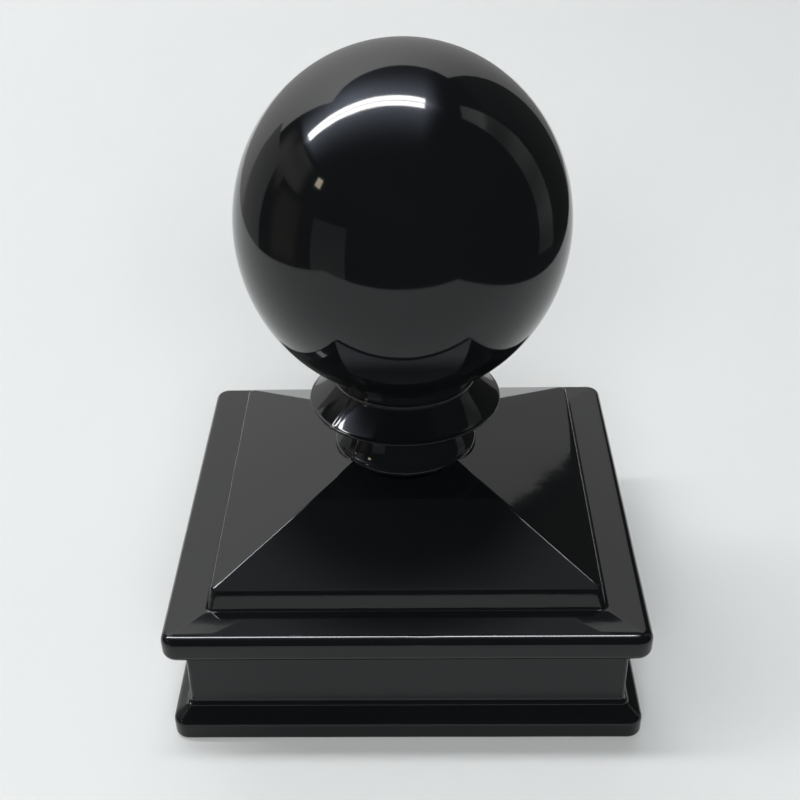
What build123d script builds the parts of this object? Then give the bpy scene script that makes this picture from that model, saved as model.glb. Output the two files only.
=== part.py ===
"""Ball finial cap for a square post, millimetres, +Z up.

The origin is the centre of the cap's footprint, on the plane that its bottom rim stands on.
A hollow square cap carries a turned collar and a hollow ball, pulled together by one bolt
that is driven up from inside the cap.
"""
from build123d import *
from math import sqrt, tan, radians
import os

# ---- square cap ------------------------------------------------------------------------
POST = 65.0                  # side of the square post that the cap slips over
SKIRT_HALF = 36.5            # outer half width of the plain skirt
SOCKET_GAP = 0.6             # between the post and the skirt's inner face, all round
SOCKET_DEPTH = 17.0          # rim to the shoulder that stops the post
SOCKET_CORNER = 1.5
LEDGE_HALF = 39.75           # half width of the ledge
RIM_HALF = 39.55             # half width of the rim
RIM_FACE = 3.4               # height of the rim's vertical face
RIM_CREASE = 5.85            # where the rim's sloped top meets the skirt
RIM_ROUND = 1.0
RIM_FOOT_ROUND = 0.6
CREASE_ROUND = 1.0
LEDGE_BOTTOM = 17.4
LEDGE_TOP = 22.3
LEDGE_ROUND = 1.5
PLAN_CORNER = 2.6            # plan radius of the ledge's and rim's corners
SKIRT_CORNER = 0.8
STEP_FOOT_HALF = 32.9        # foot of the short step that the roof stands on
STEP_FOOT = 22.8
STEP_TOP_HALF = 31.9
STEP_TOP = 26.4
STEP_ROUND = 0.7
STEP_FOOT_ROUND = 0.4
STEP_CORNER = 1.5
APEX = 39.7                  # where the four roof slopes would meet
PAD = 36.4                   # flat that is left on top of the roof for the collar
PAD_CORNER = 0.4
SHELL = 3.0                  # thickness of the casting
BOSS_RADIUS = 8.5
BOSS_FACE = 26.0             # face that the bolt's washers bear on
GRIP_RIB_WIDTH = 2.0         # low ribs that centre the post in the socket
GRIP_RIB_SPACING = 36.0
GRIP_RIB_GAP = 0.2           # between the post and the ribs
GRIP_RIB_BOTTOM = 2.5

SOCKET_HALF = POST / 2 + SOCKET_GAP
GRIP_RIB_HEIGHT = SOCKET_GAP - GRIP_RIB_GAP
ROOF_RISE = (APEX - STEP_TOP) / STEP_TOP_HALF
PAD_HALF = (APEX - PAD) / ROOF_RISE
CAVITY_HALF = STEP_TOP_HALF - SHELL
ROOF_UNDERSIDE_APEX = APEX - SHELL * sqrt(1 + ROOF_RISE ** 2)
CAVITY_WALL_TOP = ROOF_UNDERSIDE_APEX - ROOF_RISE * CAVITY_HALF
CAVITY_TOP = PAD - SHELL
CAVITY_TOP_HALF = (ROOF_UNDERSIDE_APEX - CAVITY_TOP) / ROOF_RISE

# ---- collar between cap and ball -------------------------------------------------------
FOOT_RADIUS = 12.4
FOOT_SHOULDER = 35.6         # top of the foot's straight side
FOOT_ROUND_MIDDLE = (12.27, 36.1)
FOOT_ROUND_TOP = (11.92, 36.45)
FOOT_SLOPE_MIDDLE = (10.75, 38.1)
UNDERCUT_LOW = (10.15, 39.9)
UNDERCUT_MIDDLE = (10.1, 41.3)
UNDERCUT_HIGH = (11.3, 42.5)
FLANGE_RADIUS = 16.5
FLANGE_EDGE_LOW = 43.8
FLANGE_EDGE_HIGH = 44.4
FLANGE_ROUND = 0.3
FLARE_MIDDLE = (14.09, 46.17)  # the flare is hollow by a hair and passes through here
FLARE_TOP = (12.05, 48.2)    # where it turns into the neck
RING_RADIUS = 11.85          # small ring over that turn
RING_HEIGHT = 48.65
RING_SECTION = 0.36          # radius of its round section
NECK_TOP_RADIUS = 10.75      # the neck leans in towards the ball
NECK_TOP = 51.8              # before it is hollowed to seat the ball
FOOT_BOTTOM = 33.5           # before it is cut to the roof
SEAT_GAP = 0.1               # bond line between the collar and its neighbours
BOLT_HOLE = 3.3

# ---- ball ------------------------------------------------------------------------------
BALL_RADIUS = 27.05
BALL_HALF_HEIGHT = 28.2      # the ball is slightly taller than it is wide
BALL_CENTRE = 75.9
BALL_SHELL = 2.4
BUSH_RADIUS = 6.0
BUSH_BOSS_RADIUS = 9.5
BUSH_FACE = 49.2             # lower end, just inside the ball
BUSH_TOP = 60.5
BUSH_THREAD = 3.0
BUSH_CHAMFER = 0.4
BALL_BOTTOM = BALL_CENTRE - BALL_HALF_HEIGHT

# ---- fasteners and seal ----------------------------------------------------------------
BOLT_RADIUS = 2.95
BOLT_LENGTH = 35.0
BOLT_TIP_CHAMFER = 0.6
HEAD_ACROSS_FLATS = 10.0
HEAD_HEIGHT = 4.0
HEAD_CORNER_RADIUS = 6.0     # a little over half the distance across corners
HEAD_FACE_RADIUS = 4.75      # round flat on the head's outer face
WASHER_RADIUS = 6.0
WASHER_HOLE = 3.2
WASHER_THICK = 1.6
SPRING_RADIUS = 5.4
SPRING_HOLE = 3.15
SPRING_THICK = 1.6
SPRING_SLIT = 1.0
SPRING_SLANT = 20.0          # degrees that the slit leans
SEAL_RADIUS = 5.6            # centre line of the rubber ring
SEAL_SECTION = 1.0           # radius of its round section
SEAL_GROOVE_SIDE = 0.15

HEAD_TOP = BOSS_FACE - WASHER_THICK - SPRING_THICK
HEAD_BEVEL = (HEAD_CORNER_RADIUS - HEAD_FACE_RADIUS) * tan(radians(30))

os.makedirs("parts", exist_ok=True)


# ---- post_cap: one casting -------------------------------------------------------------
# Space under the roof, with the bolt's boss left hanging in it.
with BuildPart() as cavity:
    with BuildSketch(Plane.XY.offset(SOCKET_DEPTH)):
        RectangleRounded(2 * CAVITY_HALF, 2 * CAVITY_HALF, SOCKET_CORNER)
    extrude(amount=CAVITY_WALL_TOP - SOCKET_DEPTH)
    with BuildSketch(Plane.XY.offset(CAVITY_WALL_TOP)):
        RectangleRounded(2 * CAVITY_HALF, 2 * CAVITY_HALF, SOCKET_CORNER)
    with BuildSketch(Plane.XY.offset(CAVITY_TOP)):
        RectangleRounded(2 * CAVITY_TOP_HALF, 2 * CAVITY_TOP_HALF, SOCKET_CORNER)
    loft(ruled=True)
    with BuildSketch(Plane.XY.offset(BOSS_FACE)):
        Circle(BOSS_RADIUS)
    extrude(amount=CAVITY_TOP - BOSS_FACE, mode=Mode.SUBTRACT)

# Ledge with its rounded nosing.
with BuildPart() as ledge_form:
    with BuildSketch(Plane.XY.offset(LEDGE_BOTTOM)):
        RectangleRounded(2 * LEDGE_HALF, 2 * LEDGE_HALF, PLAN_CORNER)
    extrude(amount=LEDGE_TOP - LEDGE_BOTTOM)
    fillet(ledge_form.edges().group_by(Axis.Z)[0] + ledge_form.edges().group_by(Axis.Z)[-1], LEDGE_ROUND)

with BuildPart() as post_cap:
    # Rim with a sloped top.
    with BuildSketch():
        RectangleRounded(2 * RIM_HALF, 2 * RIM_HALF, PLAN_CORNER)
    extrude(amount=RIM_FACE)
    with BuildSketch(Plane.XY.offset(RIM_FACE)):
        RectangleRounded(2 * RIM_HALF, 2 * RIM_HALF, PLAN_CORNER)
    with BuildSketch(Plane.XY.offset(RIM_CREASE)):
        RectangleRounded(2 * SKIRT_HALF, 2 * SKIRT_HALF, SKIRT_CORNER)
    loft(ruled=True)
    fillet(post_cap.edges().filter_by_position(Axis.Z, RIM_FACE, RIM_FACE), RIM_ROUND)
    fillet(post_cap.edges().group_by(Axis.Z)[0], RIM_FOOT_ROUND)
    # Plain skirt.
    with BuildSketch():
        RectangleRounded(2 * SKIRT_HALF, 2 * SKIRT_HALF, SKIRT_CORNER)
    extrude(amount=LEDGE_BOTTOM + LEDGE_ROUND)
    fillet(post_cap.edges().filter_by_position(Axis.Z, RIM_CREASE, RIM_CREASE), CREASE_ROUND)
    # Ledge and its gently sloped top.
    add(ledge_form.part)
    with BuildSketch(Plane.XY.offset(LEDGE_TOP)):
        RectangleRounded(2 * (LEDGE_HALF - LEDGE_ROUND), 2 * (LEDGE_HALF - LEDGE_ROUND), STEP_CORNER)
    with BuildSketch(Plane.XY.offset(STEP_FOOT)):
        RectangleRounded(2 * STEP_FOOT_HALF, 2 * STEP_FOOT_HALF, STEP_CORNER)
    loft(ruled=True)
    # Step and the four-sided roof on it, cut off flat under the collar.
    with BuildSketch(Plane.XY.offset(STEP_FOOT)):
        RectangleRounded(2 * STEP_FOOT_HALF, 2 * STEP_FOOT_HALF, STEP_CORNER)
    with BuildSketch(Plane.XY.offset(STEP_TOP)):
        RectangleRounded(2 * STEP_TOP_HALF, 2 * STEP_TOP_HALF, STEP_CORNER)
    loft(ruled=True)
    with BuildSketch(Plane.XY.offset(STEP_TOP)):
        RectangleRounded(2 * STEP_TOP_HALF, 2 * STEP_TOP_HALF, STEP_CORNER)
    with BuildSketch(Plane.XY.offset(PAD)):
        RectangleRounded(2 * PAD_HALF, 2 * PAD_HALF, PAD_CORNER)
    loft(ruled=True)
    fillet(post_cap.edges().filter_by_position(Axis.Z, STEP_TOP, STEP_TOP), STEP_ROUND)
    fillet(post_cap.edges().filter_by_position(Axis.Z, STEP_FOOT, STEP_FOOT), STEP_FOOT_ROUND)
    # Socket for the post, the space under the roof and the bolt hole.
    with BuildSketch():
        RectangleRounded(2 * SOCKET_HALF, 2 * SOCKET_HALF, SOCKET_CORNER)
    extrude(amount=SOCKET_DEPTH, mode=Mode.SUBTRACT)
    add(cavity.part, mode=Mode.SUBTRACT)
    with Locations((0, 0, PAD)):
        Hole(BOLT_HOLE)
    # Low ribs on the socket's walls that centre the post.
    with BuildSketch(Plane.XY.offset(GRIP_RIB_BOTTOM)):
        with PolarLocations(SOCKET_HALF, 4):
            with Locations((0, GRIP_RIB_SPACING / 2), (0, -GRIP_RIB_SPACING / 2)):
                Rectangle(2 * GRIP_RIB_HEIGHT, GRIP_RIB_WIDTH)
    extrude(amount=SOCKET_DEPTH - GRIP_RIB_BOTTOM)
post_cap.part.label = "post_cap"
export_step(post_cap.part, "parts/post_cap.step")


# ---- finial_ball: hollow ball with a boss round its one opening -------------------------
with BuildPart() as finial_ball:
    with BuildSketch(Plane.XZ):
        with BuildLine():
            outside = EllipticalCenterArc((0, BALL_CENTRE), BALL_RADIUS, BALL_HALF_HEIGHT, -90, arc_size=180)
            Line(outside @ 0, outside @ 1)
        make_face()
    revolve(axis=Axis.Z)
    with BuildSketch(Plane.XZ):
        with BuildLine():
            inside = EllipticalCenterArc(
                (0, BALL_CENTRE), BALL_RADIUS - BALL_SHELL, BALL_HALF_HEIGHT - BALL_SHELL, -90, arc_size=180
            )
            Line(inside @ 0, inside @ 1)
        make_face()
    revolve(axis=Axis.Z, mode=Mode.SUBTRACT)
    with BuildSketch(Plane.XY.offset(BALL_BOTTOM + BALL_SHELL)):
        Circle(BUSH_BOSS_RADIUS)
    extrude(amount=BUSH_TOP - BALL_BOTTOM - BALL_SHELL)
    with BuildSketch(Plane.XY.offset(BALL_BOTTOM)):
        Circle(BUSH_RADIUS)
    extrude(amount=BUSH_TOP - BALL_BOTTOM, mode=Mode.SUBTRACT)
finial_ball.part.label = "finial_ball"
export_step(finial_ball.part, "parts/finial_ball.step")


# ---- ball_bush: threaded bush pressed into the ball's boss ------------------------------
with BuildPart() as ball_bush:
    with BuildSketch(Plane.XY.offset(BUSH_FACE)):
        Circle(BUSH_RADIUS)
    extrude(amount=BUSH_TOP - BUSH_FACE)
    with Locations((0, 0, BUSH_TOP)):
        Hole(BUSH_THREAD)
    chamfer(ball_bush.edges().filter_by(GeomType.CIRCLE), BUSH_CHAMFER)
ball_bush.part.label = "ball_bush"
export_step(ball_bush.part, "parts/ball_bush.step")


# ---- finial_collar: foot, undercut, flange, flare and neck in one turned casting ---------
# What the collar's underside is cut to: the roof's pad and its four slopes.
with BuildPart() as roof_form:
    with BuildSketch(Plane.XY.offset(STEP_TOP + SEAT_GAP)):
        Rectangle(2 * STEP_TOP_HALF, 2 * STEP_TOP_HALF)
    with BuildSketch(Plane.XY.offset(PAD)):
        Rectangle(2 * PAD_HALF, 2 * PAD_HALF)
    loft(ruled=True)

# What its top is cut to: the foot of the ball.
with BuildPart() as ball_form:
    with BuildSketch(Plane.XZ):
        with BuildLine():
            seat = EllipticalCenterArc(
                (0, BALL_CENTRE), BALL_RADIUS + SEAT_GAP, BALL_HALF_HEIGHT + SEAT_GAP, -90, arc_size=180
            )
            Line(seat @ 0, seat @ 1)
        make_face()
    revolve(axis=Axis.Z)

with BuildPart() as finial_collar:
    with BuildSketch(Plane.XZ):
        with BuildLine():
            axis_line = Line((0, NECK_TOP), (0, FOOT_BOTTOM))
            Line(axis_line @ 1, (FOOT_RADIUS, FOOT_BOTTOM))
            side = Line((FOOT_RADIUS, FOOT_BOTTOM), (FOOT_RADIUS, FOOT_SHOULDER))
            # The foot rounds over and sinks into the undercut.
            over = ThreePointArc(side @ 1, FOOT_ROUND_MIDDLE, FOOT_ROUND_TOP)
            slope = ThreePointArc(over @ 1, FOOT_SLOPE_MIDDLE, UNDERCUT_LOW)
            sink = ThreePointArc(slope @ 1, UNDERCUT_MIDDLE, UNDERCUT_HIGH)
            lip = Line(sink @ 1, (FLANGE_RADIUS - FLANGE_ROUND, FLANGE_EDGE_LOW))
            edge = ThreePointArc(
                lip @ 1,
                (FLANGE_RADIUS, (FLANGE_EDGE_LOW + FLANGE_EDGE_HIGH) / 2),
                (FLANGE_RADIUS - FLANGE_ROUND, FLANGE_EDGE_HIGH),
            )
            flare = ThreePointArc(edge @ 1, FLARE_MIDDLE, FLARE_TOP)
            neck = Line(flare @ 1, (NECK_TOP_RADIUS, NECK_TOP))
            Line(neck @ 1, axis_line @ 0)
        make_face()
    revolve(axis=Axis.Z)
    with Locations((0, 0, RING_HEIGHT)):
        Torus(RING_RADIUS, RING_SECTION)
    add(roof_form.part, mode=Mode.SUBTRACT)
    add(ball_form.part, mode=Mode.SUBTRACT)
    with Locations((0, 0, NECK_TOP)):
        Hole(BOLT_HOLE)
    # Groove for the rubber ring, open towards the roof's pad.
    with BuildSketch(Plane.XY.offset(PAD)):
        Circle(SEAL_RADIUS + SEAL_SECTION + SEAL_GROOVE_SIDE)
        Circle(SEAL_RADIUS - SEAL_SECTION - SEAL_GROOVE_SIDE, mode=Mode.SUBTRACT)
    extrude(amount=2 * SEAL_SECTION, mode=Mode.SUBTRACT)
finial_collar.part.label = "finial_collar"
export_step(finial_collar.part, "parts/finial_collar.step")


# ---- seal_ring: rubber ring round the bolt, between collar and roof ----------------------
with BuildPart() as seal_ring:
    with Locations((0, 0, PAD + SEAL_SECTION)):
        Torus(SEAL_RADIUS, SEAL_SECTION)
seal_ring.part.label = "seal_ring"
export_step(seal_ring.part, "parts/seal_ring.step")


# ---- tie_bolt: hexagon head screw, its thread left plain ---------------------------------
with BuildPart() as tie_bolt:
    with BuildSketch(Plane.XY.offset(HEAD_TOP - HEAD_HEIGHT)):
        RegularPolygon(HEAD_ACROSS_FLATS / 2, 6, major_radius=False)
    extrude(amount=HEAD_HEIGHT)
    # The head's corners are turned off at 30 degrees on its outer face.
    with BuildSketch(Plane.XZ):
        with BuildLine():
            Polyline(
                (0, HEAD_TOP),
                (HEAD_CORNER_RADIUS, HEAD_TOP),
                (HEAD_CORNER_RADIUS, HEAD_TOP - HEAD_HEIGHT + HEAD_BEVEL),
                (HEAD_FACE_RADIUS, HEAD_TOP - HEAD_HEIGHT),
                (0, HEAD_TOP - HEAD_HEIGHT),
                close=True,
            )
        make_face()
    revolve(axis=Axis.Z, mode=Mode.INTERSECT)
    with BuildSketch(Plane.XY.offset(HEAD_TOP)):
        Circle(BOLT_RADIUS)
    extrude(amount=BOLT_LENGTH)
    chamfer(tie_bolt.edges().filter_by(GeomType.CIRCLE).sort_by(Axis.Z)[-1], BOLT_TIP_CHAMFER)
tie_bolt.part.label = "tie_bolt"
export_step(tie_bolt.part, "parts/tie_bolt.step")


# ---- flat_washer -------------------------------------------------------------------------
with BuildPart() as flat_washer:
    with BuildSketch(Plane.XY.offset(BOSS_FACE - WASHER_THICK)):
        Circle(WASHER_RADIUS)
        Circle(WASHER_HOLE, mode=Mode.SUBTRACT)
    extrude(amount=WASHER_THICK)
flat_washer.part.label = "flat_washer"
export_step(flat_washer.part, "parts/flat_washer.step")


# ---- spring_washer: split ring under the bolt head ---------------------------------------
with BuildPart() as spring_washer:
    with BuildSketch(Plane.XY.offset(HEAD_TOP)):
        Circle(SPRING_RADIUS)
        Circle(SPRING_HOLE, mode=Mode.SUBTRACT)
    extrude(amount=SPRING_THICK)
    slit_plane = Plane(origin=(SPRING_RADIUS, 0, HEAD_TOP + SPRING_THICK / 2), z_dir=(1, 0, 0))
    with BuildSketch(slit_plane.rotated((SPRING_SLANT, 0, 0))):
        Rectangle(SPRING_SLIT, 4 * SPRING_THICK)
    extrude(amount=-SPRING_RADIUS, mode=Mode.SUBTRACT)
spring_washer.part.label = "spring_washer"
export_step(spring_washer.part, "parts/spring_washer.step")
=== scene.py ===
"""Gloss black post cap with a ball finial: the looks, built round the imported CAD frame.

Metres, +Z up, the same frame as the CAD. Profiles are written in millimetres and scaled by MM.
The three painted castings are rebuilt as finer meshes. The hidden fasteners, bush and seal stay
as the CAD has them, with materials of their own.
"""

from math import acos, atan2, cos, degrees, exp, hypot, pi, radians, sin, sqrt

import bmesh
import bpy
from mathutils import Matrix, Vector, noise


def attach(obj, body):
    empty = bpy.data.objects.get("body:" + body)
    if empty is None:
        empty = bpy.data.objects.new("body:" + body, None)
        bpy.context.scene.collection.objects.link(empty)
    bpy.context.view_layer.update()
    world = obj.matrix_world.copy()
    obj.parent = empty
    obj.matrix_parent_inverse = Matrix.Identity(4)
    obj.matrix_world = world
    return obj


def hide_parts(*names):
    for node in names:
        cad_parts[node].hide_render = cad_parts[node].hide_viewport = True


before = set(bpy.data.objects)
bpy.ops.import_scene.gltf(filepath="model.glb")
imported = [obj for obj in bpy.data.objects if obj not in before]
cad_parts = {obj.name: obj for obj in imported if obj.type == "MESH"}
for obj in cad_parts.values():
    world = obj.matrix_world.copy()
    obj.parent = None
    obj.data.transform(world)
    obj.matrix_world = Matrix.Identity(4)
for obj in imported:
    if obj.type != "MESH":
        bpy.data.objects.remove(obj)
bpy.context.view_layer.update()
MM = 0.001
BODY = "root"

# Main sizes of the castings, in millimetres.
LEDGE, RIM, SKIRT = 39.75, 39.55, 36.5    # half widths of the cap's outside
SOCKET, CAVITY = 33.1, 28.9               # half widths inside, below and above the post's stop
POST_STOP = 17.0                          # height of the shoulder that stops the post
ROOF_EDGE, ROOF_EDGE_TOP = 31.9, 26.4     # half width and height where the slopes begin
ROOF_APEX = 39.7                          # height where the slopes would meet
PAD_TOP = 36.4                            # height of the flat under the collar
ROOF_RISE = (ROOF_APEX - ROOF_EDGE_TOP) / ROOF_EDGE
ROOF_WALL = 3.0
BOLT_HOLE = 3.3                           # radius, through the cap and the collar
BALL_CENTRE = 75.9                        # height of its centre
BALL_R, BALL_H = 27.05, 28.2              # half its width and half its height


# ---- profile and mesh helpers -------------------------------------------------------------
def arc(centre, radius, start, end, steps):
    """Points of an arc in a profile plane, from angle start to angle end in degrees."""
    points = []
    for i in range(steps + 1):
        a = radians(start + (end - start) * i / steps)
        points.append((centre[0] + radius * cos(a), centre[1] + radius * sin(a)))
    return points


def arc_through(first, middle, last, steps):
    """Points of the arc that runs from first through middle to last."""
    (ax, ay), (bx, by), (cx, cy) = first, middle, last
    a2, b2, c2 = ax**2 + ay**2, bx**2 + by**2, cx**2 + cy**2
    d = 2 * (ax * (by - cy) + bx * (cy - ay) + cx * (ay - by))
    ux = (a2 * (by - cy) + b2 * (cy - ay) + c2 * (ay - by)) / d
    uy = (a2 * (cx - bx) + b2 * (ax - cx) + c2 * (bx - ax)) / d
    start = degrees(atan2(ay - uy, ax - ux))
    through = (degrees(atan2(by - uy, bx - ux)) - start) % 360
    sweep = (degrees(atan2(cy - uy, cx - ux)) - start) % 360
    if through > sweep:
        sweep -= 360
    return arc((ux, uy), hypot(ax - ux, ay - uy), start, start + sweep, steps)


def line(first, last, steps):
    """Points spaced evenly from first to last."""
    return [
        tuple(a + (b - a) * i / steps for a, b in zip(first, last))
        for i in range(steps + 1)
    ]


def joined(*runs):
    """One list of points from runs that share their end points."""
    points = list(runs[0])
    for run in runs[1:]:
        points.extend(run[1:])
    return points


def add_to_scene(thing):
    bpy.context.scene.collection.objects.link(thing)


def new_piece(name, verts, faces):
    """A smooth-shaded mesh object from points in millimetres."""
    mesh = bpy.data.meshes.new(name)
    mesh.from_pydata([(x * MM, y * MM, z * MM) for x, y, z in verts], [], faces)
    mesh.validate()
    for polygon in mesh.polygons:
        polygon.use_smooth = True
    piece = bpy.data.objects.new(name, mesh)
    add_to_scene(piece)
    return piece


def loop_faces(rings, count, closed=False):
    """Quads between rings of count points each, and back to the first ring if closed."""
    faces = []
    last = rings if closed else rings - 1
    for i in range(last):
        a, b = i * count, ((i + 1) % rings) * count
        for j in range(count):
            k = (j + 1) % count
            faces.append((a + j, a + k, b + k, b + j))
    return faces


def shifted(faces, start):
    """The same faces for points that are numbered from start."""
    return [tuple(start + k for k in face) for face in faces]


def recalculate(piece):
    """Turns every face outward."""
    work = bmesh.new()
    work.from_mesh(piece.data)
    bmesh.ops.recalc_face_normals(work, faces=work.faces)
    work.to_mesh(piece.data)
    work.free()


def weighted_normals(piece):
    """Keeps flat faces flat in shading where they run into small fillets."""
    modifier = piece.modifiers.new("flat faces stay flat", "WEIGHTED_NORMAL")
    modifier.mode = "FACE_AREA"
    modifier.weight = 50
    modifier.keep_sharp = False


def wobble(point, size, seed):
    """Smooth noise from -1 to 1 at a point in millimetres, with features of about size."""
    return noise.noise(Vector(point) / size + Vector((seed, -seed, 0.37 * seed)))


def push_out(piece, amount):
    """Moves each point along its normal by amount(point), in millimetres."""
    normals = [vertex.normal.copy() for vertex in piece.data.vertices]
    for vertex, n in zip(piece.data.vertices, normals):
        vertex.co += n * amount(vertex.co / MM) * MM


# ---- post cap -----------------------------------------------------------------------------
SIDE_STEPS = 56
CORNER_STEPS = 10


def square_ring(half, corner, z):
    """Points of a rounded square, anticlockwise from the -Y end of its +X side."""
    points = []
    middle = half - corner
    for quarter in range(4):
        turn = quarter * pi / 2
        c, s = cos(turn), sin(turn)
        side = [(half, -middle + 2 * middle * i / SIDE_STEPS) for i in range(SIDE_STEPS)]
        bend = [
            (middle + corner * cos(a), middle + corner * sin(a))
            for a in (pi / 2 * i / CORNER_STEPS for i in range(CORNER_STEPS))
        ]
        points += [(x * c - y * s, x * s + y * c, z) for x, y in side + bend]
    return points


def square_rings(points, corner):
    """A ring for each (half width, height). corner is a radius, or gives it from the half width."""
    corner_of = corner if callable(corner) else lambda half: corner
    return [square_ring(half, corner_of(half), z) for half, z in points]


def circle_rings(points):
    """Circles for each (radius, height), with the same count and order of points as square_ring."""
    outline = square_ring(1.0, 0.2, 0)
    return [
        [(radius * x / hypot(x, y), radius * y / hypot(x, y), z) for x, y, _ in outline]
        for radius, z in points
    ]


def rim_rings():
    """Bottom rim: a rounded face, a sloped top, a low riser and a cove up to the skirt."""
    under = [(SOCKET, 0.25), (SOCKET + 0.08, 0.08), (SOCKET + 0.25, 0.0)]
    under += [(34.6, 0.0), (36.4, 0.0), (37.8, 0.0)]
    face = arc((RIM - 0.6, 0.6), 0.6, -90, 0, 8)
    edge = arc((RIM - 1.2, 2.84), 1.2, 0, 53, 9)
    riser = SKIRT + 0.56
    slope = line(edge[-1], (riser + 0.04, 5.34), 4)
    step = arc_through((riser + 0.01, 5.42), (riser - 0.03, 5.57), (riser - 0.12, 5.64), 4)
    cove = arc_through((riser - 0.16, 5.66), (SKIRT + 0.1, 6.02), (SKIRT, 6.6), 7)
    outside = joined(face, line(face[-1], edge[0], 2), edge, slope) + step + cove
    return (
        square_rings(under, 1.6)
        + square_rings(outside, lambda half: max(0.8, 2.6 - (RIM - half) * 0.6))
    )


def ledge_rings():
    """Skirt and ledge: a quirk under it, a bullnose, and a top that rises gently to the step."""
    skirt = [(SKIRT, z) for z in (7.2, 9.5, 12.5, 15.2, 16.8)]
    quirk = [(SKIRT + 0.06, 17.22), (SKIRT + 0.3, 17.4), (SKIRT + 0.9, 17.4)]
    under = arc((LEDGE - 1.5, 18.9), 1.5, -90, 0, 9)
    over = arc((LEDGE - 1.65, 20.64), 1.65, 0, 83, 12)
    nose = joined(under, line(under[-1], over[0], 2), over)
    half, z = over[-1]
    top = [(half - 0.6, z + 0.05), (36.0, 22.46), (34.6, 22.6), (33.35, 22.73)]
    return (
        square_rings(skirt, 0.8)
        + square_rings(quirk, 1.0)
        + square_rings(nose, lambda half: max(0.7, 2.6 - (LEDGE - half)))
        + square_rings(top, 0.45)
    )


def roof_rings():
    """Step with a tight cove at its foot and a rounded edge, then the roof's slopes and its pad."""
    cove = arc_through((33.2, 22.75), (32.96, 22.82), (32.86, 23.02), 4)
    face = [(32.62, 23.9), (32.36, 24.8), (32.2, 25.4)]
    edge_start = 32.06
    edge = arc_through((edge_start, 25.82), (31.86, 26.22), (31.45, 26.54), 7)
    halves = (31.0, 30.4, 28.5, 26.0, 23.0, 20.0, 17.0, 14.0, 11.0, 9.2)
    slopes = [(half, ROOF_APEX - ROOF_RISE * half) for half in halves]
    pad_half = (ROOF_APEX - PAD_TOP) / ROOF_RISE
    pad = [(pad_half, PAD_TOP), (pad_half - 0.6, PAD_TOP)]
    return (
        square_rings(cove + face, 1.3)
        + square_rings(edge, lambda half: max(0.5, 1.3 - (edge_start - half)))
        + square_rings(slopes, 0.45)
        + square_rings(pad, 0.4)
    )


def inside_rings():
    """Down the bolt hole, round the boss, and down the inside of the casting to the rim."""
    boss, boss_face, flat_top = 8.5, 26.0, 33.4
    inner_apex = ROOF_APEX - ROOF_WALL * sqrt(1 + ROOF_RISE**2)

    def under_slope(half):
        return half, inner_apex - ROOF_RISE * half

    hole = [(5.2, PAD_TOP), (BOLT_HOLE + 0.2, PAD_TOP)]
    hole += [(BOLT_HOLE, z) for z in (PAD_TOP - 0.25, 33.0, 29.5, boss_face + 0.25)]
    hole += [(BOLT_HOLE + 0.25, boss_face)]
    boss_side = [(6.2, boss_face), (boss - 0.4, boss_face), (boss, boss_face + 0.4)]
    boss_side += [(boss + 0.1, 29.0), (boss + 0.2, flat_top - 1.2)]
    boss_side += [(boss + 0.55, flat_top - 0.35), (boss + 1.2, flat_top)]
    flat_half = max((inner_apex - flat_top) / ROOF_RISE, boss + 1.6)
    slopes = [under_slope(half) for half in (12.5, 16.0, 20.0, 24.0, 27.2)]
    corner_z = under_slope(CAVITY)[1]
    knee = arc_through(under_slope(28.3), (28.74, corner_z - 0.15), (CAVITY, corner_z - 0.8), 5)
    wall = [(CAVITY, 21.5), (CAVITY, 19.5), (CAVITY, 17.4), (CAVITY + 0.12, 17.1)]
    stop = [(half, POST_STOP) for half in (CAVITY + 0.4, 31.0, 32.5)]
    stop += [(32.95, 16.95), (SOCKET, 16.75)]
    socket = [(SOCKET, z) for z in (14.5, 12.0, 9.0, 6.0, 3.5, 1.5)]
    return (
        circle_rings(hole + boss_side)
        + square_rings([under_slope(flat_half)], 2.4)
        + square_rings(slopes + knee + wall + stop + socket, 1.5)
    )


# Place, height and spread: a nick on a skirt corner, a dimple in the rim, a pinch in the ledge.
CAP_MARKS = (
    (Vector((-SKIRT + 0.25, -SKIRT + 0.25, 13.2)), -0.30, 0.55),
    (Vector((-2.7, -RIM, 2.3)), -0.16, 0.55),
    (Vector((3.0, -LEDGE + 0.5, 21.7)), 0.10, 0.7),
)


def cap_unevenness(p):
    """How far the cap's surface stands out at a point: casting, coat and three small marks."""
    outside = max(abs(p.x), abs(p.y)) > SKIRT - 0.4 or p.z > 22.0
    if not outside:
        return 0.0
    push = 0.016 * wobble(p, 9.0, 3.1) + 0.005 * wobble(p, 3.6, 7.7) - 0.02
    for place, height, spread in CAP_MARKS:
        push += height * exp(-((p - place).length / spread) ** 2)
    return push


def make_grip_ribs():
    """Eight low ribs on the socket's walls, as points and faces in millimetres."""
    reach, base, half, off_centre = 32.7, 33.35, 1.0, 18.0
    section = [
        (base, -half - 0.15), (reach + 0.12, -half + 0.1), (reach, -half + 0.35),
        (reach, half - 0.35), (reach + 0.12, half - 0.1), (base, half + 0.15),
    ]
    # Height of each row of points, and how far it sinks into the wall.
    levels = [(2.3, 0.45), (2.7, 0.12), (3.3, 0.0), (16.4, 0.0), (16.9, 0.0)]
    count = len(section)
    sides = loop_faces(len(levels), count)
    ends = [tuple(range(start, start + count)) for start in (0, (len(levels) - 1) * count)]
    verts, faces = [], []
    for quarter in range(4):
        c, s = cos(quarter * pi / 2), sin(quarter * pi / 2)
        for offset in (-off_centre, off_centre):
            faces += shifted(sides + ends, len(verts))
            for z, sink in levels:
                for x, y in section:
                    x, y = min(base, x + sink), y + offset
                    verts.append((x * c - y * s, x * s + y * c, z))
    return verts, faces


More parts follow.
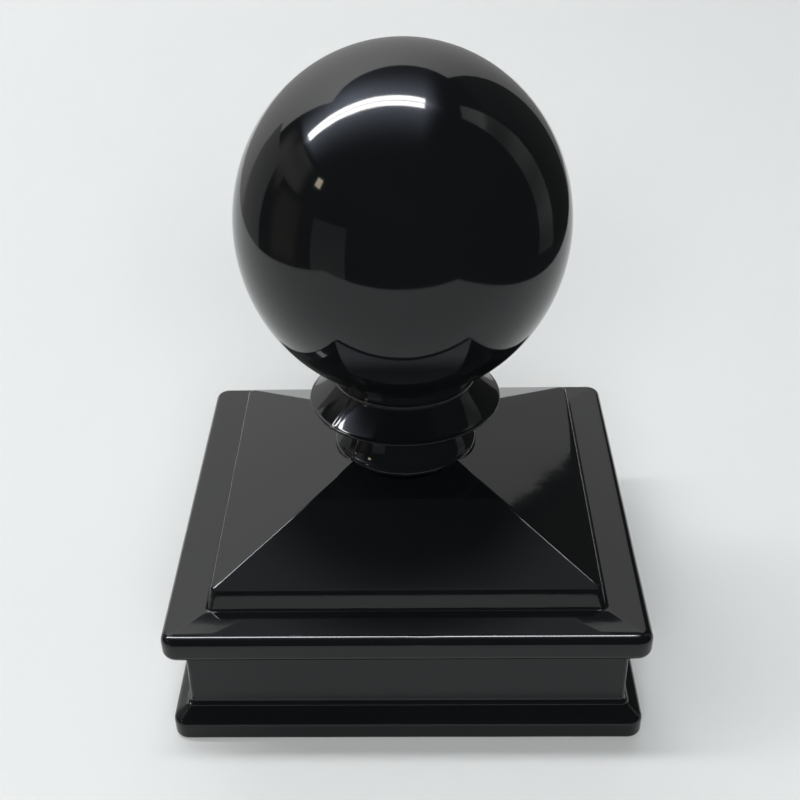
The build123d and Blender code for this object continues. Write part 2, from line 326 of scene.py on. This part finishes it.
def make_post_cap():
    """The square casting: up the outside, down the bolt hole and the inside, and the ribs."""
    rings = rim_rings() + ledge_rings() + roof_rings() + inside_rings()
    verts = [p for ring in rings for p in ring]
    faces = loop_faces(len(rings), len(rings[0]), closed=True)
    rib_verts, rib_faces = make_grip_ribs()
    faces += shifted(rib_faces, len(verts))
    verts += rib_verts
    piece = new_piece("painted_post_cap", verts, faces)
    recalculate(piece)
    push_out(piece, cap_unevenness)
    weighted_normals(piece)
    return piece


# ---- turned castings ----------------------------------------------------------------------
def lathe(name, profile, segments, shape=None):
    """Turns a profile of (radius, height) points round Z. A radius of 0 closes to one point."""
    verts, faces, rows = [], [], []
    for i, (radius, z) in enumerate(profile):
        if radius == 0:
            rows.append([len(verts)])
            verts.append((0, 0, z))
            continue
        row = []
        for j in range(segments):
            a = 2 * pi * j / segments
            r, h = shape(i, radius, z, a) if shape else (radius, z)
            row.append(len(verts))
            verts.append((r * cos(a), r * sin(a), h))
        rows.append(row)
    pairs = list(zip(rows, rows[1:]))
    if len(rows[0]) > 1 and len(rows[-1]) > 1:
        pairs.append((rows[-1], rows[0]))
    for low, high in pairs:
        for j in range(segments):
            k = (j + 1) % segments
            face = [low[j % len(low)], low[k % len(low)], high[k % len(high)], high[j % len(high)]]
            face = list(dict.fromkeys(face))
            if len(face) > 2:
                faces.append(face)
    piece = new_piece(name, verts, faces)
    recalculate(piece)
    return piece


def ball_unevenness(p):
    """How far the ball's outside stands out at a point. Its inside stays as it is."""
    d = p - Vector((0, 0, BALL_CENTRE))
    if hypot(hypot(d.x, d.y) / BALL_R, d.z / BALL_H) < 0.97:
        return 0.0
    return 0.050 * wobble(p, 26.0, 5.3) + 0.008 * wobble(p, 6.0, 1.9) - 0.03


def make_ball():
    """Hollow ball with the boss for the bush inside its one opening."""
    def shell(rx, rz, start, end, steps):
        points = []
        for i in range(steps + 1):
            a = radians(start + (end - start) * i / steps)
            radius = max(0.0, rx * cos(a)) if a < pi / 2 - 1e-6 else 0
            points.append((radius, BALL_CENTRE + rz * sin(a)))
        return points

    wall, bore, boss, boss_top = 2.4, 6.0, 9.5, 60.5
    inner_r, inner_h = BALL_R - wall, BALL_H - wall
    outside = shell(BALL_R, BALL_H, -degrees(acos(bore / BALL_R)), 90, 110)
    inside = shell(inner_r, inner_h, 90, -degrees(acos(boss / inner_r)), 60)
    boss_side = [(boss, 55.0), (boss, boss_top - 0.4), (boss - 0.4, boss_top)]
    boss_side += [(bore + 0.2, boss_top), (bore, boss_top - 0.2)]
    piece = lathe("painted_finial_ball", outside + inside + boss_side, 224)
    push_out(piece, ball_unevenness)
    return piece


def ball_seat(radius, gap=0.0):
    """Profile point at a radius on the ball's underside, lower by the bond line and by gap."""
    height = BALL_CENTRE - (BALL_H + 0.1) * sqrt(1 - (radius / (BALL_R + 0.1)) ** 2)
    return radius, height - gap


def roof_height(x, y):
    """Height of the roof's slopes and pad under the collar's foot."""
    return min(PAD_TOP, ROOF_APEX - ROOF_RISE * max(abs(x), abs(y)))


def make_collar():
    """Foot, undercut, flange, flare, ring and neck, with the two parting lines of its mould."""
    foot, shoulder = 12.4, 35.6
    foot_side = line((foot, 33.5), (foot, shoulder), 3)
    foot_over = arc_through((foot, shoulder), (12.27, 36.1), (11.92, 36.45), 6)
    foot_slope = arc_through((11.92, 36.45), (10.75, 38.1), (10.15, 39.9), 8)
    undercut = arc_through((10.15, 39.9), (10.1, 41.3), (11.3, 42.5), 8)
    flange_under = line((11.3, 42.5), (16.2, 43.8), 4)
    flange_edge = arc_through((16.2, 43.8), (16.5, 44.1), (16.2, 44.4), 6)
    flare = arc_through((16.2, 44.4), (14.09, 46.17), (12.07, 48.2), 18)
    ring = arc((11.85, 48.65), 0.36, -55, 72, 9)
    neck = line((11.88, 49.04), ball_seat(11.43, 0.06), 5)
    neck_edge = [neck[-1], ball_seat(11.4, 0.015), ball_seat(11.36)]
    outer = joined(foot_side, foot_over, foot_slope, undercut, flange_under, flange_edge, flare)
    outer += ring + joined(neck, neck_edge)

    seat = [ball_seat(r) for r in (11.2, 10.2, 9.0, 7.6, 6.0, 4.6, BOLT_HOLE)]
    bore = [(BOLT_HOLE, z) for z in (46.0, 42.0, 39.0, 36.5)] + [(BOLT_HOLE + 0.1, PAD_TOP)]
    groove_in, groove_out, groove_top = 4.45, 6.75, 38.4
    groove = [(groove_in, PAD_TOP), (groove_in, groove_top)]
    groove += [(groove_out, groove_top), (groove_out, PAD_TOP)]
    below = [(r, 35.0) for r in (8.6, 9.8, 11.0, 12.0)]
    profile = outer + seat + bore + groove + [(7.7, PAD_TOP)] + below

    # Rows that are cut to the roof, and how far each rises from it to the foot's shoulder.
    on_roof = {0: 0.0, 1: 0.5}
    on_roof.update((len(profile) - k, 0.0) for k in range(1, len(below) + 1))
    seam = radians(-139.0)

    def shape(row, radius, z, a):
        if row < len(outer):
            for turn in (seam, seam + pi):
                away = (a - turn + pi) % (2 * pi) - pi
                ridge = 0.15 * exp(-(away * radius / 0.24) ** 2)
                dressed = 0.04 * exp(-((away * radius - 0.7) / 0.5) ** 2)
                radius += ridge - dressed
        if row in on_roof:
            share = on_roof[row]
            z = roof_height(radius * cos(a), radius * sin(a)) * (1 - share) + shoulder * share
        return radius, z

    return lathe("painted_finial_collar", profile, 256, shape)


# ---- materials ----------------------------------------------------------------------------
def new_material(name):
    material = bpy.data.materials.new(name)
    material.use_nodes = True
    shader = material.node_tree.nodes["Principled BSDF"]
    return material, material.node_tree, shader


def object_coordinates(tree):
    node = tree.nodes.get("Texture Coordinate") or tree.nodes.new("ShaderNodeTexCoord")
    return node.outputs["Object"]


def noise_level(tree, scale, detail, rough=0.5):
    """Level of a noise texture. scale is features per metre."""
    node = tree.nodes.new("ShaderNodeTexNoise")
    node.inputs["Scale"].default_value = scale
    node.inputs["Detail"].default_value = detail
    node.inputs["Roughness"].default_value = rough
    tree.links.new(object_coordinates(tree), node.inputs["Vector"])
    return node.outputs["Fac"]


def ramp(tree, source, stops):
    """Source mapped through stops of (place, colour or grey level)."""
    node = tree.nodes.new("ShaderNodeValToRGB")
    elements = node.color_ramp.elements
    while len(elements) < len(stops):
        elements.new(0.5)
    for element, (place, colour) in zip(elements, stops):
        element.position = place
        element.color = (*colour, 1) if isinstance(colour, tuple) else (colour,) * 3 + (1,)
    tree.links.new(source, node.inputs["Fac"])
    return node.outputs["Color"]


def drive(tree, shader, socket, source, stops):
    """Drives a socket of the shader by a ramp over source."""
    tree.links.new(ramp(tree, source, stops), shader.inputs[socket])


def bump(tree, height, distance, strength=1.0, below=None):
    node = tree.nodes.new("ShaderNodeBump")
    node.inputs["Distance"].default_value = distance
    node.inputs["Strength"].default_value = strength
    tree.links.new(height, node.inputs["Height"])
    if below:
        tree.links.new(below, node.inputs["Normal"])
    return node.outputs["Normal"]


def gloss_black():
    """Stoved gloss black over cast metal: faint orange peel, a few dust nibs and a little haze."""
    material, tree, shader = new_material("gloss black coat")
    shader.inputs["IOR"].default_value = 1.41
    deep, lifted = (0.0029, 0.0034, 0.0038), (0.0036, 0.0042, 0.0046)
    cloud = noise_level(tree, 60.0, 4.0)
    drive(tree, shader, "Base Color", cloud, [(0.3, deep), (0.7, lifted)])
    haze = noise_level(tree, 45.0, 6.0, 0.6)
    drive(tree, shader, "Roughness", haze, [(0.35, 0.045), (0.7, 0.085)])
    peel = bump(tree, noise_level(tree, 620.0, 2.0, 0.4), 0.0000035)
    cells = tree.nodes.new("ShaderNodeTexVoronoi")
    cells.inputs["Scale"].default_value = 170.0
    tree.links.new(object_coordinates(tree), cells.inputs["Vector"])
    nibs = ramp(tree, cells.outputs["Distance"], [(0.0, 1.0), (0.035, 0.0)])
    tree.links.new(bump(tree, nibs, 0.00001, 0.6, peel), shader.inputs["Normal"])
    return material


def metal(name, colour, dark, rough, grain):
    """Bare or plated metal with fine grain, cloudy colour and uneven roughness."""
    material, tree, shader = new_material(name)
    shader.inputs["Metallic"].default_value = 1.0
    drive(tree, shader, "Base Color", noise_level(tree, 260.0, 5.0), [(0.35, dark), (0.65, colour)])
    fine = noise_level(tree, grain, 4.0, 0.6)
    drive(tree, shader, "Roughness", fine, [(0.3, rough * 0.75), (0.7, rough * 1.3)])
    tree.links.new(bump(tree, fine, 0.00001), shader.inputs["Normal"])
    return material


def rubber():
    """Matt black rubber, cloudy and slightly grainy."""
    material, tree, shader = new_material("seal rubber")
    cloud = noise_level(tree, 700.0, 5.0)
    drive(tree, shader, "Base Color", cloud, [(0.3, 0.018), (0.7, 0.034)])
    drive(tree, shader, "Roughness", cloud, [(0.3, 0.55), (0.7, 0.8)])
    tree.links.new(bump(tree, cloud, 0.00003), shader.inputs["Normal"])
    return material


def floor_material():
    material, tree, shader = new_material("pale floor")
    low, high = (0.755, 0.775, 0.775), (0.775, 0.795, 0.795)
    drive(tree, shader, "Base Color", noise_level(tree, 3.0, 3.0), [(0.3, low), (0.7, high)])
    shader.inputs["Roughness"].default_value = 0.9
    shader.inputs["Specular IOR Level"].default_value = 0.1
    return material


# ---- the object ---------------------------------------------------------------------------
coat = gloss_black()
for piece, node in (
    (make_post_cap(), "post_cap"),
    (make_collar(), "finial_collar"),
    (make_ball(), "finial_ball"),
):
    piece.data.materials.append(coat)
    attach(piece, BODY)
    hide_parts(node)

zinc = metal("zinc plated steel", (0.62, 0.63, 0.66), (0.50, 0.52, 0.56), 0.28, 2400.0)
brass = metal("machined brass", (0.74, 0.55, 0.27), (0.64, 0.45, 0.20), 0.24, 3000.0)
for node, material in (
    ("tie_bolt", zinc),
    ("flat_washer", zinc),
    ("spring_washer", zinc),
    ("ball_bush", brass),
    ("seal_ring", rubber()),
):
    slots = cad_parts[node].material_slots
    if not slots:
        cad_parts[node].data.materials.append(material)
    for slot in slots:
        slot.material = material


# ---- stage --------------------------------------------------------------------------------
EYE = Vector((0, 0, 0.076))      # the cards below are placed round the ball's centre
CARD_DISTANCE = 1.3
CARD_STEP = 3                    # degrees between a card's points


def direction(azimuth, elevation):
    """Unit vector: azimuth 0 is behind the object, 90 its right side; degrees."""
    a, e = radians(azimuth), radians(elevation)
    return Vector((sin(a) * cos(e), cos(a) * cos(e), sin(e)))


def eased(share):
    """Share kept from 0 to 1, with a soft start and end."""
    share = max(0.0, min(1.0, share))
    return share * share * (3 - 2 * share)


def spaced(ends, count):
    """Values spaced evenly between two ends, both included."""
    return [ends[0] + (ends[1] - ends[0]) * i / count for i in range(count + 1)]


def glow_material():
    """Light of the colour and strength that a sheet's own points carry."""
    material = bpy.data.materials.new("card glow")
    material.use_nodes = True
    tree = material.node_tree
    tree.nodes.clear()
    attribute = tree.nodes.new("ShaderNodeAttribute")
    attribute.attribute_name = "glow"
    emission = tree.nodes.new("ShaderNodeEmission")
    output = tree.nodes.new("ShaderNodeOutputMaterial")
    tree.links.new(attribute.outputs["Color"], emission.inputs["Color"])
    tree.links.new(emission.outputs["Emission"], output.inputs["Surface"])
    return material


GLOW = glow_material()


def stage_piece(name, points, faces, material):
    """A flat-shaded mesh of the stage, from points in metres."""
    mesh = bpy.data.meshes.new(name)
    mesh.from_pydata(points, [], faces)
    mesh.materials.append(material)
    piece = bpy.data.objects.new(name, mesh)
    add_to_scene(piece)
    return piece


def glowing_sheet(name, grid, tint=(1, 1, 1)):
    """A sheet from rows of (point, brightness), which the gloss mirrors and the camera misses."""
    across = len(grid[0])
    faces = [
        (start, start + 1, start + across + 1, start + across)
        for i in range(len(grid) - 1)
        for start in range(i * across, (i + 1) * across - 1)
    ]
    cells = [cell for row in grid for cell in row]
    piece = stage_piece(name, [point for point, level in cells], faces, GLOW)
    colours = piece.data.attributes.new("glow", "FLOAT_COLOR", "POINT")
    for item, (point, level) in zip(colours.data, cells):
        item.color = (level * tint[0], level * tint[1], level * tint[2], 1)
    piece.visible_camera = False
    return piece


def card(name, azimuths, elevations, light, tint=(1, 1, 1), distance=CARD_DISTANCE):
    """A curved card round the object. light(azimuth, elevation) gives its brightness."""
    columns = max(2, int(abs(azimuths[1] - azimuths[0]) / CARD_STEP))
    rows = max(2, int(abs(elevations[1] - elevations[0]) / CARD_STEP))
    grid = [
        [(EYE + direction(a, e) * distance, light(a, e)) for a in spaced(azimuths, columns)]
        for e in spaced(elevations, rows)
    ]
    glowing_sheet(name, grid, tint)


def between(low, high, start, end):
    """A light that goes from low at elevation start to high at elevation end."""
    return lambda a, e: low + (high - low) * (e - start) / (end - start)


def feathered(light, azimuths, elevations, margin, rest=0.06):
    """The same light, fading to rest within margin degrees of the card's edges."""
    def fade(value, ends):
        return eased(min(value - ends[0], ends[1] - value) / margin)

    return lambda a, e: rest + (light(a, e) - rest) * fade(a, azimuths) * fade(e, elevations)


def back_sweep_light(a, e):
    """The pale surface behind the object: brighter towards its top and its left."""
    return 0.40 * exp((e + 5) / 36) * exp(-(a + 10) / 120)


def left_wall_light(a, e):
    """A patch of wall low down, and the tall bright part of it further to the left."""
    patch = 0.45 * exp(-((e - 23) / 9) ** 2)
    tall = 0.3 + max(0.0, e - 26) / 46
    return max(patch, tall / (1 + exp((a + 76) / 1.5)))


def window_light(a, e):
    """Bright at the top, with dimmer rails across the rest."""
    panes = 0.33 + 0.09 * cos(radians(e - 22) * 14)
    return panes + (0.40 if e > 43 else 0.0) - 0.08 * (e < 5)


def make_cards():
    """What the gloss mirrors round the object: each card's azimuths, elevations and light."""
    card("back_sweep", (-56, 31), (-19, 50), back_sweep_light)
    card("left_panel", (-74, -50), (-18, 20), between(0.30, 0.40, -18, 20), distance=1.27)
    wall = ((-106, -60), (8, 72))
    card("left_wall", *wall, feathered(left_wall_light, *wall, 9), (1.0, 0.96, 0.94), 2.8)
    warm = ((-112, -84), (-18, 18))
    card("warm_panel", *warm, feathered(lambda a, e: 0.2, *warm, 7), (1.0, 0.88, 0.78))
    card("left_shelf", (-144, -120), (-16, 13), between(0.34, 0.24, -16, 13))
    card("dark_flag", (32.5, 62), (-20, 46), between(0.03, 0.09, -20, 46))
    card("window_column", (65, 81), (-19, 57), window_light, (0.95, 1.0, 0.97))
    card("lamp", (-116.5, -111.5), (27.2, 32.0), lambda a, e: 9.0, (1.0, 0.86, 0.66))


def make_roof_painted_reflection():
    """A dim glowing sheet close over the front of the roof, seen only in its gloss: a painted
    reflection that keeps the lamp's mirror image off it, with painted shade near the collar and a
    painted sheen brighter towards the roof's edges.
    """
    rows, columns, clearance, slope = 12, 28, 3.0, 0.417
    grid = []
    for y in spaced((-35.0, -15.5), rows):
        half = -y + 0.5
        row = []
        for j in range(columns + 1):
            x = half * (2 * j / columns - 1)
            point = Vector((x, y, ROOF_APEX - slope * abs(y) + clearance)) * MM
            # painted reflection: dark near the collar (painted shade), a brighter painted sheen
            # further out
            row.append((point, 0.05 + 0.40 * eased((hypot(x, y + 6) - 19) / 16)))
        grid.append(row)
    flag = glowing_sheet("roof_painted_reflection", grid, (0.92, 0.97, 1.08))
    flag.visible_diffuse = False
    flag.visible_shadow = False


STRIP_HEIGHT = 1.25
STRIP_BACK = 0.138 * STRIP_HEIGHT      # how far behind the ball the lamp runs
STRIP_SLANT = -0.072                   # it runs a little further back towards the left
STRIP_ENDS = (-1.24 * STRIP_HEIGHT, 0.225 * STRIP_HEIGHT)
TUBE_WIDTH = 0.08
TUBE_GAP = 0.015
TUBE_LIGHT = 36.0
OVERHEAD_STEP = 0.025                  # metres between an overhead sheet's points


def overhead_sheet(name, height, across, along, light, tint=(1, 1, 1)):
    """A level sheet whose own light is seen in the gloss but doesn't fall on the floor."""
    columns = max(1, round((across[1] - across[0]) / OVERHEAD_STEP))
    rows = max(1, round((along[1] - along[0]) / OVERHEAD_STEP))
    grid = [
        [
            (EYE + Vector((x, y + STRIP_SLANT * x, height)), light(x, y))
            for y in spaced(across, columns)
        ]
        for x in spaced(along, rows)
    ]
    glowing_sheet(name, grid, tint).visible_diffuse = False


def strip_haze(x, y):
    """Haze round the lamp: strong beside it, longer behind it, and fading towards its ends."""
    away = (y - STRIP_BACK) / STRIP_HEIGHT
    near = 4.0 * exp(-abs(away) / 0.045)
    if away > 0:
        wide = 1.6 * exp(-(away / 0.30) ** 2) + 0.4 * exp(-away / 0.4)
        wide *= 1 + 0.7 * exp(-((x / STRIP_HEIGHT + 0.5) / 0.25) ** 2)
    else:
        wide = 1.7 * exp(-(away / 0.30) ** 2) + 0.25 * exp(away / 0.22)
    past = max(STRIP_ENDS[0] - x, x - STRIP_ENDS[1] + 0.05 * STRIP_HEIGHT, 0.0) / STRIP_HEIGHT
    return 0.06 + (near + wide) * exp(-(past / 0.12) ** 2)


def area_light(name, size, energy, place):
    """A soft light that faces down, and that the gloss and the camera don't see."""
    data = bpy.data.lights.new(name, "AREA")
    data.shape = "RECTANGLE"
    data.size, data.size_y = size
    data.energy = energy
    lamp = bpy.data.objects.new(name, data)
    lamp.location = place
    lamp.visible_glossy = False
    lamp.visible_camera = False
    add_to_scene(lamp)
    return lamp


def make_strip():
    """The long overhead lamp with two tubes: its reflection is the bright arc on the ball."""
    for side, name in ((-1, "strip_tube_front"), (1, "strip_tube_back")):
        middle = STRIP_BACK + side * (TUBE_WIDTH + TUBE_GAP) / 2
        across = (middle - TUBE_WIDTH / 2, middle + TUBE_WIDTH / 2)
        overhead_sheet(name, STRIP_HEIGHT, across, STRIP_ENDS, lambda x, y: TUBE_LIGHT)
    across, along = (-0.8, 1.02), (STRIP_ENDS[0] - 0.3, STRIP_ENDS[1] + 0.6)
    bluish = (0.86, 0.95, 1.15)
    overhead_sheet("strip_haze", STRIP_HEIGHT + 0.02, across, along, strip_haze, bluish)
    size = (STRIP_ENDS[1] - STRIP_ENDS[0], 2 * TUBE_WIDTH + TUBE_GAP)
    middle = sum(STRIP_ENDS) / 2
    place = EYE + Vector((middle, STRIP_BACK + STRIP_SLANT * middle, STRIP_HEIGHT - 0.01))
    area_light("strip_light", size, 12.0, place)


def make_front_fill():
    """Soft light from the camera's side, so that the floor in front of the rim isn't dark."""
    towards = direction(180, 28)
    lamp = area_light("front_fill", (0.9, 0.35), 12.0, EYE + towards * 1.2)
    lamp.rotation_euler = (-towards).to_track_quat("-Z", "Y").to_euler()


def make_world():
    """Dim room, a little bluer towards the ceiling."""
    world = bpy.data.worlds.new("dim room")
    bpy.context.scene.world = world
    world.use_nodes = True
    tree = world.node_tree
    coordinates = tree.nodes.new("ShaderNodeTexCoord")
    split = tree.nodes.new("ShaderNodeSeparateXYZ")
    tree.links.new(coordinates.outputs["Generated"], split.inputs["Vector"])
    stops = [
        (0.0, (0.05, 0.053, 0.055)),
        (0.55, (0.052, 0.056, 0.058)),
        (0.8, (0.052, 0.057, 0.064)),
        (1.0, (0.052, 0.057, 0.069)),
    ]
    tree.links.new(ramp(tree, split.outputs["Z"], stops), tree.nodes["Background"].inputs["Color"])


def make_floor():
    """A pale sheet, which the gloss mirrors, and the same floor going on beyond it."""
    pale = floor_material()
    left, right, front, back, far = -0.27, 0.16, -0.235, 0.62, 4.0
    sheet = [(left, front, 0), (right, front, 0), (right, back, 0), (left, back, 0)]
    edge = [(-far, -far, 0), (far, -far, 0), (far, far, 0), (-far, far, 0)]
    stage_piece("floor_sheet", sheet, [(0, 1, 2, 3)], pale)
    faces = [(4, 5, 1, 0), (5, 6, 2, 1), (6, 7, 3, 2), (7, 4, 0, 3)]
    stage_piece("floor_beyond", sheet + edge, faces, pale).visible_glossy = False


def make_camera():
    """The photograph's view, from the front and above, shifted to the photograph's framing."""
    tilt, turn, roll = radians(35.598), radians(2.1255), radians(-1.6755)
    target, distance = Vector((-4.735, 0, 21.38)) * MM, 238.4 * MM
    spin = Matrix.Rotation(turn, 3, "Z")
    ahead = spin @ Vector((0, cos(tilt), -sin(tilt)))
    right = spin @ Vector((1, 0, 0))
    up = spin @ Vector((0, sin(tilt), cos(tilt)))
    side = right * cos(roll) + up * sin(roll)
    top = up * cos(roll) - right * sin(roll)
    data = bpy.data.cameras.new("camera")
    data.sensor_width = 36.0
    data.lens = 58.14
    data.shift_x = 0.024
    data.shift_y = 0.125
    data.clip_start = 0.01
    camera = bpy.data.objects.new("camera", data)
    place = target - ahead * distance
    camera.matrix_world = Matrix((
        (side.x, top.x, -ahead.x, place.x),
        (side.y, top.y, -ahead.y, place.y),
        (side.z, top.z, -ahead.z, place.z),
        (0, 0, 0, 1),
    ))
    add_to_scene(camera)
    bpy.context.scene.camera = camera


make_camera()
make_floor()
make_cards()
make_roof_painted_reflection()
make_strip()
make_front_fill()
make_world()
bpy.context.scene.view_settings.view_transform = "Standard"
